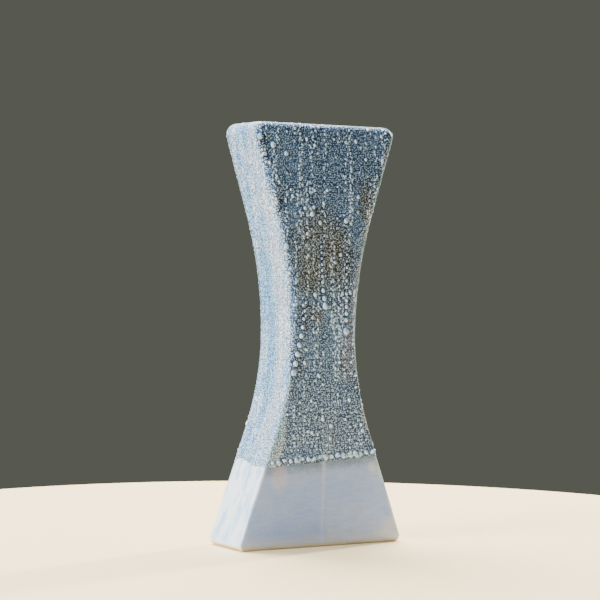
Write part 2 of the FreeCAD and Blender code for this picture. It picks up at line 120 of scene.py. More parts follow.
def use_group(tree, group, inputs):
    """What a group gives, placed in a material or in another group with its values set."""
    kind = "GeometryNodeGroup" if tree.bl_idname == "GeometryNodeTree" else "ShaderNodeGroup"
    return add_node(tree, kind, inputs, node_tree=group).outputs


def new_material(name):
    """A new material, its node tree and its shader."""
    material = bpy.data.materials.new(name)
    material.use_nodes = True
    return material, material.node_tree, material.node_tree.nodes["Principled BSDF"]


def mixed(tree, share, first, second):
    """A colour between two, by a share from 0 to 1."""
    return add_node(tree, "ShaderNodeMix", {0: share, 6: first, 7: second}, data_type="RGBA").outputs[2]


def carved(tree, shader, relief, strength, depth):
    """Gives a finish its fine relief."""
    bump = add_node(tree, "ShaderNodeBump", {"Height": relief, "Strength": strength, "Distance": depth})
    feed(tree, shader, {"Normal": bump.outputs[0]})


def srgb(red, green, blue):
    """A paint-chart colour, 0 to 255, as the linear colour that nodes take."""
    channels = (red / 255, green / 255, blue / 255)
    return (*(c / 12.92 if c <= 0.04045 else ((c + 0.055) / 1.055) ** 2.4 for c in channels), 1.0)


def make_grain():
    """Specks and fine grain, for clay and for thin glaze."""
    tree, given, result = new_group(
        "clay_grain", "ShaderNodeTree",
        {"Place": "Vector", "Speck spacing": 3 * mm, "Speck share": 0.1, "Grain size": 0.5 * mm},
        {"Speck": "Float", "Grain": "Float"})
    place = given["Place"]
    cells = add_node(tree, "ShaderNodeTexVoronoi",
                     {"Vector": place, "Scale": maths(tree, "DIVIDE", 1.0, given["Speck spacing"])})
    radius = times(tree, axis_of(tree, cells.outputs["Color"], 0), given["Speck share"])
    speck = ramp(tree, cells.outputs["Distance"], radius, times(tree, radius, 1.6), 1.0, 0.0)
    grain = mottle(tree, place, maths(tree, "DIVIDE", 1.0, given["Grain size"]), 3.0, 0.6)
    feed(tree, result, {"Speck": speck, "Grain": grain})
    return tree


clay_grain = make_grain()


def make_clay():
    material, tree, shader = new_material("bare_stoneware")
    place = add_node(tree, "ShaderNodeTexCoord").outputs["Object"]
    grain = use_group(tree, clay_grain, {"Place": place, "Speck spacing": 2.2 * mm, "Speck share": 0.16,
                                         "Grain size": 0.45 * mm})
    clouds = mottle(tree, place, 45.0, 4.0)
    body = mixed(tree, clouds, srgb(218, 207, 190), srgb(196, 182, 162))
    body = mixed(tree, times(tree, grain["Speck"], 0.7), body, srgb(104, 80, 60))
    feed(tree, shader, {"Base Color": body, "Roughness": 0.85, "Specular IOR Level": 0.3})
    carved(tree, shader, grain["Grain"], 0.5, 0.12 * mm)
    return material


def coat_plainly(material, *names):
    """Gives clay and glaze pieces that keep their own shapes a material."""
    for name in names:
        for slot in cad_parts[name].material_slots:
            slot.material = material


coat_plainly(make_clay(), "left_half_wall", "right_half_wall", "floor_slab", "roof_slab", "floor_coil",
             "roof_coil", "front_joint_strip", "back_joint_strip")


# ---------------------------------------------------------------------------------------------
# Liner: a thin glossy glaze poured in and out, so that the vase holds water. It pools slightly
# darker and bluer where it lay thick.
# ---------------------------------------------------------------------------------------------
def make_liner():
    material, tree, shader = new_material("liner_glaze")
    place = add_node(tree, "ShaderNodeTexCoord").outputs["Object"]
    pools = mottle(tree, place, 30.0, 3.0, distortion=0.6)
    tone = mixed(tree, pools, srgb(196, 204, 208), srgb(150, 166, 178))
    feed(tree, shader, {"Base Color": tone, "Roughness": 0.18})
    carved(tree, shader, pools, 0.3, 0.4 * mm)
    return material


coat_plainly(make_liner(), "liner_glaze")

# ---------------------------------------------------------------------------------------------
# Skirt glaze: one thin satin coat, brushed round the lower fifth of the walls. The two halves'
# joint stands under it as a low vertical rib in the middle of the front and the back. The brush
# leaves faint level lines, cobalt bleeds down from the beaded coat, and the clay warms its foot.
# Its faces are painted darker than its sides, partly as painted shade, and the fringe under the
# beaded coat's edge is partly painted shadow.
# ---------------------------------------------------------------------------------------------
coat_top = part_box("roof_glaze")
height = coat_top[1][2]
half_depth = coat_top[1][1]
waist_half = 28.2 * mm       # half width at the waist, over the glaze
waist_level = 149.0 * mm
skirt_sweep = 205.0 * mm     # radius of the waist curve below the waist
shoulder_sweep = 293.0 * mm  # radius of the waist curve above it
skirt_lean = math.radians(19.5)
shoulder_lean = math.radians(17.0)
foot_corner = 4.0 * mm
head_corner = 7.5 * mm
edge_at_foot = 1.6 * mm      # rounding of the long edges at the foot
edge_at_waist = 6.0 * mm     # and from the waist up
coat_thickness = 0.9 * mm    # beaded coat, from the clay
panel_edge = 6.0 * mm        # where the side glaze begins, from the faces
glaze_line = 60.6 * mm       # the beaded coat's lower edge at the middle
line_slope = math.tan(math.radians(3.2))
side_rise = 3.5 * mm         # how much higher it hangs on the back half of the sides
head_level = height - head_corner


def long_edge(z):
    """Rounding of the long edges at a height: crisp at the foot, full from the waist up."""
    share = min(1.0, max(0.0, z / waist_level))
    return edge_at_foot + (edge_at_waist - edge_at_foot) * share**2


def half_width(z, inset=0.0):
    """Half width of the outline set in by a distance, and the tilt of its outward normal."""
    lower, upper = skirt_sweep + inset, shoulder_sweep + inset
    skirt_top = waist_level - lower * math.sin(skirt_lean)
    shoulder_foot = waist_level + upper * math.sin(shoulder_lean)
    waist_centre = waist_half - inset

    def shoulder(level):
        foot_x = waist_centre + upper * (1 - math.cos(shoulder_lean))
        return foot_x + (level - shoulder_foot) * math.tan(shoulder_lean)

    def skirt(level):
        top_x = waist_centre + lower * (1 - math.cos(skirt_lean))
        return top_x + (skirt_top - level) * math.tan(skirt_lean)

    head_radius, foot_radius = head_corner - inset, foot_corner - inset
    if z > head_level - head_radius * math.sin(shoulder_lean):
        joint = head_level - head_radius * math.sin(shoulder_lean)
        centre = shoulder(joint) - head_radius * math.cos(shoulder_lean)
        rise = min(1.0, (z - head_level) / head_radius) if head_radius > 1e-9 else 1.0
        return centre + head_radius * math.sqrt(max(0.0, 1 - rise**2)), math.asin(rise)
    if z > shoulder_foot:
        return shoulder(z), -shoulder_lean
    if z > waist_level:
        turn = math.asin((z - waist_level) / upper)
        return waist_centre + upper * (1 - math.cos(turn)), -turn
    if z > skirt_top:
        turn = math.asin((waist_level - z) / lower)
        return waist_centre + lower * (1 - math.cos(turn)), turn
    if z > foot_corner + foot_radius * math.sin(skirt_lean):
        return skirt(z), skirt_lean
    joint = foot_corner + foot_radius * math.sin(skirt_lean)
    centre = skirt(joint) - foot_radius * math.cos(skirt_lean)
    drop = max(-1.0, (z - foot_corner) / foot_radius)
    return centre + foot_radius * math.sqrt(max(0.0, 1 - drop**2)), math.asin(drop)


# One turn round the vase, anticlockwise from above, as (part, side of the vase, face).
FRONT_PARTS = [("side", -1, -1), ("round", -1, -1), ("flat", 0, -1), ("round", 1, -1), ("side", 1, -1)]
RIGHT_PARTS = [("middle", 1, 0)]
BACK_PARTS = [("side", 1, 1), ("round", 1, 1), ("flat", 0, 1), ("round", -1, 1), ("side", -1, 1)]
LEFT_PARTS = [("middle", -1, 0)]
ALL_ROUND = FRONT_PARTS + RIGHT_PARTS + BACK_PARTS + LEFT_PARTS


def full_turn(z):
    """How far the long edge's rounding turns at a height: a right angle, less over the head."""
    radius = long_edge(z)
    room = head_corner - (z - head_level)
    return math.pi / 2 if room >= radius else math.acos(min(1.0, 1 - room / radius))


def part_length(part, z):
    """How long a part of the turn is at a height."""
    kind = part[0]
    radius = long_edge(z)
    if kind == "round":
        return radius * full_turn(z)
    if kind == "side":
        return panel_edge - radius
    if kind == "middle":
        return 2 * (half_depth - panel_edge)
    return 2 * half_width(min(z, height - radius), radius)[0]


def skin_point(part, share, z):
    """A point of the finished outside: its place, its outward normal, its place on the skin laid
    flat, and how far it lies past the rim of the flat face, over the rounding (in m)."""
    kind, side, face = part
    radius = long_edge(z)
    turn = full_turn(z)
    quarter = radius * math.pi / 2
    back = 0.5 if face > 0 else 0.0   # the back is laid half a metre along from the front
    reach_x = half_width(min(z, height - radius), radius)[0]
    rising = (side < 0) == (face < 0)
    if kind == "flat":
        x = face * (1 - 2 * share) * reach_x
        over_head = radius * (math.pi / 2 - turn)
        y = face * (half_depth - radius + radius * math.sin(turn))
        past = over_head if over_head > 0 else max(abs(x) - reach_x, z - (height - radius))
        level = height - radius + over_head if over_head > 0 else z
        return (Vector((x, y, z)), Vector((0, face * math.sin(turn), math.cos(turn))),
                Vector((x + back, level, 0)), past)
    if kind == "round":
        angle = turn * (share if rising else 1 - share)
        x, tilt = half_width(z, radius * (1 - math.cos(angle)))
        y = face * (half_depth - radius + radius * math.sin(angle))
        normal = Vector((side * math.cos(angle) * math.cos(tilt), face * math.sin(angle),
                         math.cos(angle) * math.sin(tilt)))
        past = quarter - radius * angle
        return (Vector((side * x, y, z)), normal.normalized(),
                Vector((side * (reach_x + past) + back, z, 0)), past)
    x, tilt = half_width(z)
    border = half_depth - panel_edge
    if kind == "middle":
        y = side * border * (2 * share - 1)
    else:
        y = face * (border + (half_depth - radius - border) * (share if rising else 1 - share))
    past = quarter + half_depth - radius - abs(y)
    wrapped = quarter + half_depth - radius + y if kind == "middle" else past
    return (Vector((side * x, y, z)), Vector((side * math.cos(tilt), 0, math.sin(tilt))),
            Vector((side * (reach_x + wrapped) + back, z, 0)), past)


def skin_row(level_at, parts, step, thickness, sink=0.0):
    """A row of points over the parts. level_at gives the height for a place; sink sets the row in
    from the finished outside. Each point is (place, normal, laid flat, past, thickness, mark)."""
    row = []
    for number, part in enumerate(parts):
        middle_level = level_at(Vector())
        length = part_length(part, middle_level)
        if length < 1e-7:
            continue
        count = max(1, round(length / step))
        for i in range(count + (1 if number == len(parts) - 1 else 0)):
            z = middle_level
            for _ in range(3):
                place, normal, laid_flat, past = skin_point(part, i / count, z)
                z = level_at(place)
            row.append((place - normal * sink, normal, laid_flat, past, thickness - sink, number + i / count))
    return row


def zip_rows(first, second, marks, closed):
    """Triangles between two rows of vertex numbers, pairing points by their marks."""
    a, b = list(first), list(second)
    a_marks, b_marks = [marks[i] for i in a], [marks[i] for i in b]
    if closed:
        end = max(a_marks + b_marks) + 1
        a, b = a + a[:1], b + b[:1]
        a_marks, b_marks = a_marks + [end], b_marks + [end]
    i = j = 0
    faces = []
    while i < len(a) - 1 or j < len(b) - 1:
        if j == len(b) - 1 or (i < len(a) - 1 and a_marks[i + 1] <= b_marks[j + 1]):
            faces.append((a[i], a[i + 1], b[j]))
            i += 1
        else:
            faces.append((a[i], b[j + 1], b[j]))
            j += 1
    return faces


def shell_mesh(name, outer, inner, closed):
    """A closed shell: outer rows from the bottom up, inner rows set in by each point's thickness,
    and rims between them. Its attributes tell the glaze where each point lies."""
    points, numbers = [], []
    for rows, inside in ((outer, False), (inner[::-1], True)):
        for row in rows:
            numbers.append(range(len(points), len(points) + len(row)))
            points += [(place - normal * thickness * inside, normal, laid_flat, past, 1.0 - inside, mark)
                       for place, normal, laid_flat, past, thickness, mark in row]
    marks = [point[5] for point in points]
    faces = []
    for k in range(len(numbers)):
        faces += zip_rows(numbers[k], numbers[(k + 1) % len(numbers)], marks, closed)
    if not closed:
        outer_numbers, inner_numbers = numbers[: len(outer)], numbers[len(outer):][::-1]
        heights = [point[0].z for point in points]
        for end, order in ((0, 1), (-1, -1)):
            columns = [[row[end] for row in outer_numbers], [row[end] for row in inner_numbers]][::order]
            faces += zip_rows(*columns, heights, False)
    mesh = bpy.data.meshes.new(name)
    mesh.from_pydata([tuple(point[0]) for point in points], [], faces)
    for label, which in (("ground", 0), ("outward", 1), ("laid_flat", 2)):
        axes = [axis for point in points for axis in point[which]]
        mesh.attributes.new(label, "FLOAT_VECTOR", "POINT").data.foreach_set("vector", axes)
    for label, values in (("past_rim", [point[3] / mm for point in points]),
                          ("above_line", [(point[0].z - line_level(point[0])) / mm for point in points]),
                          ("outside", [point[4] for point in points])):
        mesh.attributes.new(label, "FLOAT", "POINT").data.foreach_set("value", values)
    mesh.shade_smooth()
    mesh.update()
    return mesh


def show_mesh(mesh, name, material, *nodes, slot):
    """Puts a finished mesh in the scene, on the vase's one body, for the pieces it stands for."""
    piece = bpy.data.objects.new(name, mesh)
    bpy.context.scene.collection.objects.link(piece)
    mesh.materials.clear()
    mesh.materials.append(material)
    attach(piece, "root")
    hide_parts(*nodes)
    return piece


def sharpen_rims(mesh, angle=math.radians(50)):
    """Keeps the thin rims of a shell crisp, so that its outside shades as if it had no edge."""
    shape = bmesh.new()
    shape.from_mesh(mesh)
    for edge in shape.edges:
        if len(edge.link_faces) == 2 and edge.calc_face_angle() > angle:
            edge.smooth = False
    shape.to_mesh(mesh)
    shape.free()


dry_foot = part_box("skirt_glaze")[0][2]  # bare clay shows below this
skirt_sink = 0.6 * mm                   # the thin coat lies this far inside the beaded one
seam_x = 1.0 * mm                       # the halves' joint
rib_width = 1.7 * mm
rib_rise = 0.16 * mm


def line_level(place):
    """Height of the beaded coat's lower edge: it slopes up to the right, wavers, and hangs higher
    towards the back of the sides."""
    waver = 0.35 * mm * math.sin(place.x * 210) + 0.25 * mm * math.sin(place.x * 530 + 1 + place.y * 300)
    inward = max(0.0, min(1.0, (place.y + 8 * mm) / (22 * mm)))
    inward *= max(0.0, min(1.0, (half_depth - place.y) / (8 * mm)))
    return glaze_line + line_slope * place.x + waver + side_rise * inward**2 * (3 - 2 * inward)


def skirt_rows(step):
    """Rows of the skirt glaze from the bare foot up to the line."""
    count = round((glaze_line - dry_foot) / step)
    rows = []
    for k in range(count + 1):
        share = k / count
        rows.append(skin_row(lambda place: dry_foot + (line_level(place) - dry_foot) * share, ALL_ROUND, step,
                             coat_thickness, skirt_sink))
    return rows


def hand_made(place, normal, laid_flat, past, thickness, mark):
    """Moves a point of the skirt as the potter's hands left it: the joint's rib, soft hollows."""
    rib = rib_rise * math.exp(-(((place.x - seam_x) / rib_width) ** 2)) * abs(normal.y)
    hollow = 0.16 * mm * noise.noise(place * 45) + 0.05 * mm * noise.noise(place * 160)
    foot_roll = -0.22 * mm * math.exp(-(place.z - dry_foot) / (0.5 * mm))
    move = rib + hollow + foot_roll
    return place + normal * move, normal, laid_flat, past, thickness + move, mark


def spread(tree, value, low, high):
    """A soft step: nothing at low, all at high."""
    return ramp(tree, value, low, high, interpolation_type="SMOOTHSTEP")


def from_mesh(tree, name, output="Fac"):
    """An attribute of the mesh, read in a material."""
    return add_node(tree, "ShaderNodeAttribute", attribute_name=name).outputs[output]


def make_drawn_glaze():
    """Pale glaze with blue drawn down through it as it melted, broad and fine."""
    tree, given, result = new_group(
        "drawn_glaze", "ShaderNodeTree",
        {"Place": "Vector", "Pale": "Color", "Blue": "Color", "Green": "Color", "Fine share": 0.4},
        {"Colour": "Color", "Streaks": "Float"})

    def streaks_of(width, tall, detail):
        drawn = add_node(tree, "ShaderNodeMapping", {"Vector": given["Place"],
                                                     "Scale": (1 / width, 1 / width, 1 / tall)})
        return mottle(tree, drawn.outputs[0], 1.0, detail, distortion=0.25)

    broad, fine = streaks_of(9 * mm, 60 * mm, 1.5), streaks_of(3.2 * mm, 45 * mm, 2.0)
    share = maths(tree, "MULTIPLY_ADD", spread(tree, fine, 0.42, 0.68), given["Fine share"],
                  times(tree, spread(tree, broad, 0.47, 0.62), 0.75))
    green_share = times(tree, spread(tree, streaks_of(6 * mm, 40 * mm, 2.0), 0.5, 0.68), 0.5)
    colour = mixed(tree, share, given["Pale"], given["Blue"])
    colour = mixed(tree, green_share, colour, given["Green"])
    feed(tree, result, {"Colour": colour, "Streaks": fine})
    return tree


drawn_glaze = make_drawn_glaze()


def make_patch():
    """A soft-edged patch of another tint, frayed by noise."""
    tree, given, result = new_group(
        "tint_patch", "ShaderNodeTree",
        {"Place": "Vector", "Middle": "Vector", "Reach": "Vector", "Fray": 0.6}, {"Mask": "Float"})
    off = vectors(tree, "SUBTRACT", given["Place"], given["Middle"])
    away = vectors(tree, "LENGTH", vectors(tree, "DIVIDE", off, given["Reach"]), output="Value")
    fray = mottle(tree, given["Place"], 130.0, 4.0, 0.65)
    edge = maths(tree, "MULTIPLY_ADD", maths(tree, "SUBTRACT", fray, 0.5), given["Fray"], away)
    feed(tree, result, {"Mask": spread(tree, edge, 1.15, 0.45)})
    return tree


tint_patch = make_patch()
# Glaze tones of the skirt's faces, darker and bluer than its sides: partly the glaze's own tint, partly
# painted shade where the faces turn from the window light.
face_tones_with_painted_shade = srgb(128, 158, 226), srgb(142, 168, 226)
warm_spots = ((srgb(204, 188, 204), (-35, -half_depth / mm, 50), (8, 8, 12)),   # tint, middle, reach in mm
              (srgb(214, 208, 200), (42, -half_depth / mm, 55), (4, 8, 5)),
              (srgb(204, 188, 204), (35, half_depth / mm, 50), (8, 8, 12)))


def make_skirt_glaze():
    material, tree, shader = new_material("satin_skirt_glaze")
    place = from_mesh(tree, "ground", "Vector")
    level = maths(tree, "DIVIDE", axis_of(tree, place, "Z"), mm)
    above_line = from_mesh(tree, "above_line")
    on_side = spread(tree, from_mesh(tree, "past_rim"), -2.5, 3.5)
    on_face = maths(tree, "SUBTRACT", 1.0, on_side)

    def tinted(tone, strength, mask, tint):
        """The tone with a tint laid over it where the mask is."""
        return mixed(tree, times(tree, mask, strength), tone, tint)

    # Clouds of thicker and thinner glaze on the faces, drawn out downwards on the sides. The faces' tones are
    # partly painted shade.
    clouds = mottle(tree, place, 38.0, 5.0, 0.55, 0.4)
    side_glaze = use_group(tree, drawn_glaze,
                           {"Place": place, "Pale": srgb(222, 230, 240), "Blue": srgb(136, 186, 230),
                            "Green": srgb(206, 222, 228), "Fine share": 0.12})
    tone = mixed(tree, spread(tree, clouds, 0.36, 0.62), *face_tones_with_painted_shade)
    tone = mixed(tree, on_side, tone, side_glaze["Colour"])
    # Cobalt that bled from the beaded coat: wider smudges here and there, and a fringe under its edge that is
    # part cobalt, part painted shadow.
    smudge = times(tree, spread(tree, above_line, -17.0, 2.0),
                   spread(tree, side_glaze["Streaks"], 0.47, 0.66))
    tone = tinted(tone, 0.75, smudge, srgb(128, 158, 196))
    # Dark band just under the coat's edge: pooled cobalt, and painted shadow of the thicker coat above it.
    cobalt_fringe_and_painted_shadow = spread(tree, maths(tree, "MULTIPLY_ADD", clouds, 10.0, above_line), -5.0, 5.0)
    tone = tinted(tone, 0.85, times(tree, cobalt_fringe_and_painted_shadow, on_face), srgb(76, 104, 140))
    # The rib breaks paler, most of all at its top.
    rib_across = maths(tree, "ABSOLUTE", maths(tree, "SUBTRACT", axis_of(tree, place, "X"), seam_x))
    rib = times(tree, spread(tree, rib_across, 2.0 * mm, 0.9 * mm), on_face)
    tone = tinted(tone, ramp(tree, level, 15.0, 60.0, 0.08, 0.35), rib, srgb(204, 210, 218))
    # Thin glaze is paler at the foot, and the clay warms it in patches.
    thin = maths(tree, "MULTIPLY_ADD", clouds, 5.0, level)
    tone = tinted(tone, 0.6, spread(tree, thin, 14.0, 5.0), srgb(206, 210, 222))
    for tint, middle, reach in warm_spots:
        spot = use_group(tree, tint_patch, {"Place": place, "Middle": Vector(middle) * mm,
                                            "Reach": Vector(reach) * mm})
        tone = tinted(tone, 0.4, spot["Mask"], tint)
    tone = tinted(tone, 0.5, spread(tree, mottle(tree, place, 24.0, 2.0), 0.6, 0.75), srgb(206, 200, 204))
    # Specks, short level brush lines and fine grain, all very shallow.
    grain = use_group(tree, clay_grain, {"Place": place, "Speck spacing": 5.0 * mm, "Speck share": 0.05,
                                         "Grain size": 0.8 * mm})
    tone = tinted(tone, 0.25, grain["Speck"], srgb(120, 118, 122))
    level_lines = add_node(tree, "ShaderNodeMapping", {"Vector": place, "Scale": (110.0, 110.0, 560.0)})
    brush = mottle(tree, level_lines.outputs[0], 1.0, 3.0)
    tone = tinted(tone, 0.12, spread(tree, brush, 0.48, 0.7), srgb(214, 220, 228))
    tone = tinted(tone, 0.12, spread(tree, brush, 0.5, 0.3), srgb(120, 142, 184))
    tone = tinted(tone, 0.16, spread(tree, grain["Grain"], 0.42, 0.62), srgb(222, 226, 236))
    feed(tree, shader, {"Base Color": tone, "Roughness": ramp(tree, clouds, 0.0, 1.0, 0.42, 0.6)})
    relief = maths(tree, "ADD", times(tree, brush, 0.6), times(tree, grain["Grain"], 0.5))
    carved(tree, shader, relief, 0.55, 0.12 * mm)
    return material


skirt_outer = [[hand_made(*point) for point in row] for row in skirt_rows(0.9 * mm)]
skirt_mesh = shell_mesh("skirt_glaze_coat", skirt_outer, skirt_rows(4 * mm), closed=True)
sharpen_rims(skirt_mesh)
show_mesh(skirt_mesh, "skirt_glaze_coat", make_skirt_glaze(), "skirt_glaze", slot="skirt_glaze")

# ---------------------------------------------------------------------------------------------
# Glaze drops: the larger beads that ran down the faces and gathered along the coat's lower edge.
# Each is a glossy drop of the same glaze, fused to the coat; they grow where a run ends.
# ---------------------------------------------------------------------------------------------
def drop_spots(node):
    """The middle and half width of each solid of a CAD node of drops."""
    shape = bmesh.new()
    shape.from_mesh(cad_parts[node].data)
    bmesh.ops.remove_doubles(shape, verts=shape.verts, dist=1e-6)
    spots, seen = [], set()
    for start in shape.verts:
        if start in seen:
            continue
        island, queue = [], [start]
        seen.add(start)
        while queue:
            vert = queue.pop()
            island.append(vert.co.copy())
            for edge in vert.link_edges:
                other = edge.other_vert(vert)
                if other not in seen:
                    seen.add(other)
                    queue.append(other)
        low = Vector(min(point[axis] for point in island) for axis in range(3))
        high = Vector(max(point[axis] for point in island) for axis in range(3))
        spots.append(((low + high) / 2, (high.x - low.x) / 2))
    shape.free()
    return sorted(spots, key=lambda spot: tuple(spot[0]))


def jitter(tree, place, scale):
    """An uneven shift, a half either way at most."""
    shift = add_node(tree, "ShaderNodeTexNoise", {"Vector": place, "Detail": 1.0, "Scale": scale})
    return vectors(tree, "SUBTRACT", shift.outputs["Color"], (0.5, 0.5, 0.5))


def stored(tree, name, data_type="FLOAT"):
    """An attribute of the mesh, read in a Geometry Nodes tree."""
    return add_node(tree, "GeometryNodeInputNamedAttribute", {"Name": name}, data_type=data_type).outputs[0]


def make_drop_tree():
    """Geometry Nodes: a drop on each spot, uneven in shape, pressed flat against the face."""
    tree, given, result = new_group(
        "glaze_drops", "GeometryNodeTree",
        {"Geometry": "Geometry", "Flatness": 0.6, "Stretch": 1.12, "Lumps": 0.35, "Lump size": 2.2 * mm,
         "Sunk": 0.4 * mm, "Per spot": 1, "Scatter": 1.2, "Material": "Material"}, {"Geometry": "Geometry"})
    ball = add_node(tree, "GeometryNodeMeshIcoSphere", {"Radius": 1.0, "Subdivisions": 2})
    # Smaller drops run together with the first one of each spot.
    copies = add_node(tree, "GeometryNodeDuplicateElements",
                      {"Geometry": given["Geometry"], "Amount": given["Per spot"]}, domain="POINT")
    follower = maths(tree, "MINIMUM", copies.outputs["Duplicate Index"], 1.0)
    smaller = add_node(tree, "FunctionNodeRandomValue", {2: 0.4, 3: 0.8, "Seed": 7},
                       data_type="FLOAT").outputs[1]
    share = maths(tree, "MULTIPLY_ADD", maths(tree, "SUBTRACT", smaller, 1.0), follower, 1.0)
    radius = stored(tree, "drop_radius")
    resized = add_node(tree, "GeometryNodeStoreNamedAttribute",
                       {"Geometry": copies.outputs["Geometry"], "Name": "drop_radius",
                        "Value": times(tree, radius, share)}, data_type="FLOAT", domain="POINT")
    aside, turn = (add_node(tree, "FunctionNodeRandomValue", {"Min": low, "Max": high, "Seed": seed},
                            data_type="FLOAT_VECTOR").outputs[0]
                   for low, high, seed in (((-1.0, 0.0, -0.7), (1.0, 0.0, 0.7), 11),
                                           ((0.0, -0.7, 0.0), (0.0, 0.7, 0.0), 4)))
    reach = times(tree, times(tree, follower, given["Scatter"]),
                  maths(tree, "DIVIDE", radius, share))
    scattered = add_node(tree, "GeometryNodeSetPosition",
                         {"Geometry": resized.outputs[0], "Offset": vectors(tree, "SCALE", aside, reach)})
    scale = add_node(tree, "ShaderNodeCombineXYZ", {"X": radius, "Y": times(tree, radius, given["Flatness"]),
                                                    "Z": times(tree, radius, given["Stretch"])})
    drops = add_node(tree, "GeometryNodeInstanceOnPoints",
                     {"Points": scattered.outputs[0], "Instance": ball.outputs["Mesh"],
                      "Rotation": turn, "Scale": scale.outputs[0]})
    made = add_node(tree, "GeometryNodeRealizeInstances", {"Geometry": drops.outputs[0]})
    place = add_node(tree, "GeometryNodeInputPosition").outputs[0]
    push = vectors(tree, "SCALE", jitter(tree, place, maths(tree, "DIVIDE", 1.0, given["Lump size"])),
                   times(tree, radius, given["Lumps"]))
    lumpy = add_node(tree, "GeometryNodeSetPosition", {"Geometry": made.outputs[0], "Offset": push})
    # The side against the vase is flat: nothing goes deeper than the coat.
    at = add_node(tree, "ShaderNodeSeparateXYZ", {0: place})
    rim = stored(tree, "face_y")
    out = maths(tree, "SIGN", rim)
    depth = maths(tree, "MAXIMUM", maths(tree, "SUBTRACT", times(tree, at.outputs["Y"], out),
                                         times(tree, rim, out)),
                  times(tree, given["Sunk"], -1.0))
    flat_y = maths(tree, "ADD", rim, times(tree, depth, out))
    flat = add_node(tree, "ShaderNodeCombineXYZ", {"X": at.outputs["X"], "Y": flat_y, "Z": at.outputs["Z"]})
    pressed = add_node(tree, "GeometryNodeSetPosition",
                       {"Geometry": lumpy.outputs[0], "Position": flat.outputs[0]})
    smooth = add_node(tree, "GeometryNodeSetShadeSmooth", {"Geometry": pressed.outputs[0]})
    coloured = add_node(tree, "GeometryNodeSetMaterial",
                        {"Geometry": smooth.outputs[0], "Material": given["Material"]})
    feed(tree, result, {"Geometry": coloured.outputs[0]})
    return tree


def set_input(modifier, label, value):
    """Sets a Geometry Nodes modifier's input by its socket's identifier."""
    for item in modifier.node_group.interface.items_tree:
        if item.item_type == "SOCKET" and item.in_out == "INPUT" and item.name == label:
            modifier[item.identifier] = value


def grown(start, tree, name, settings):
    """The plain mesh that a tree makes from a start mesh."""
    seed = bpy.data.objects.new(f"{name}_start", start)
    bpy.context.scene.collection.objects.link(seed)
    modifier = seed.modifiers.new(name, "NODES")
    modifier.node_group = tree
    for label, value in settings.items():
        set_input(modifier, label, value)
    bpy.context.view_layer.update()
    graph = bpy.context.evaluated_depsgraph_get()
    mesh = bpy.data.meshes.new_from_object(seed.evaluated_get(graph), preserve_all_data_layers=True,
                                           depsgraph=graph)
    mesh.name = name
    bpy.data.objects.remove(seed)
    return mesh


def sized_spots(name, places, radii):
    """A mesh of loose points, each with the half width of its drop."""
    cloud = bpy.data.meshes.new(name)
    cloud.from_pydata(places, [], [])
    cloud.attributes.new("drop_radius", "FLOAT", "POINT").data.foreach_set("value", radii)
    return cloud


def make_drop_glaze():
    material, tree, shader = new_material("glaze_drop")
    place = add_node(tree, "ShaderNodeTexCoord").outputs["Object"]
    milk = mottle(tree, place, 420.0, 2.0)
    tone = mixed(tree, spread(tree, milk, 0.35, 0.65), srgb(198, 219, 244), srgb(148, 184, 222))
    feed(tree, shader, {"Base Color": tone, "Roughness": 0.16, "Subsurface Weight": 0.15,
                        "Subsurface Scale": 0.6 * mm})
    carved(tree, shader, milk, 0.25, 0.2 * mm)
    return material


drop_glaze = make_drop_glaze()
drop_tree = make_drop_tree()
drop_places, drop_radii = [], []
for node, per_spot, fullness, lumps in (("front_edge_beads", 3, 0.92, 0.6), ("back_edge_beads", 3, 0.92, 0.6),
                                        ("front_run_beads", 1, 0.9, 0.5), ("back_run_beads", 1, 0.9, 0.5)):
    face_y = half_depth if node.startswith("back") else -half_depth
    spots = drop_spots(node)
    places = [(middle.x, face_y, middle.z) for middle, _ in spots]
    radii = [radius * fullness for _, radius in spots]
    cloud = sized_spots(f"{node}_spots", places, radii)
    cloud.attributes.new("face_y", "FLOAT", "POINT").data.foreach_set("value", [face_y] * len(spots))
    piece_name = node.replace("beads", "drops")
    drops = grown(cloud, drop_tree, piece_name,
                  {"Per spot": per_spot, "Lumps": lumps, "Material": drop_glaze})
    show_mesh(drops, piece_name, drop_glaze, node, slot="glaze_drops")
    drop_places += places
    drop_radii += radii

# ---------------------------------------------------------------------------------------------
# Beaded coat: a stiff glaze that crawled into beads over a dark slip. It wraps the front, the
# sides, the back and the head, down to the glaze line. On the faces the beads stand apart over
# blue-black slip; round the long edges and the head the glaze lies thicker, nearly white. On the
# right long edge of the front and the mirrored edge of the back the pale edge is widened further
# as a painted highlight.
# ---------------------------------------------------------------------------------------------
fine_cell = 1.2 * mm     # spacing of the finest beads
bead_cell = 2.1 * mm     # spacing of the middling beads, which hang in strings
bead_rise = 0.5 * mm     # height of a middling bead over the slip
slip_sink = 0.32 * mm    # how far the slip lies inside the finished outside


